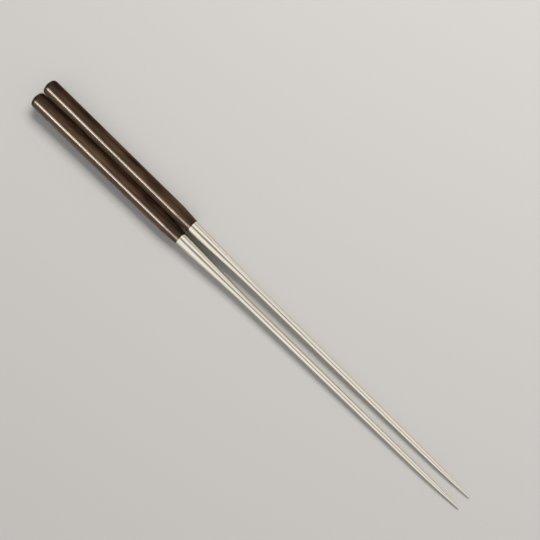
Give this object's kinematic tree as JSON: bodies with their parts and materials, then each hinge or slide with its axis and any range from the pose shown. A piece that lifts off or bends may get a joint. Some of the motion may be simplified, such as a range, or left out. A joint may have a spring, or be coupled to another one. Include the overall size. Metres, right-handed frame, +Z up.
{
  "type": "plating chopsticks",
  "caption": "Long plating chopsticks with round tapered steel rods that end in fine points and octagonal ebony handles that narrow to meet the steel.",
  "frame": {"origin": "on the surface that the pair lies on, under the centre of its bounding box", "axes": "+X from the butts of the handles to the tips, +Y towards the left stick, +Z up"},
  "size_m": [0.275, 0.0164, 0.0093],
  "materials": {
    "ebony": "dark close-grained hardwood, smoothed and waxed to a satin sheen",
    "steel": "stainless steel, ground and polished along its length"
  },
  "bodies": {
    "root": {"left_handle": "ebony", "left_rod": "steel", "right_handle": "ebony", "right_rod": "steel"}
  },
  "joints": []
}
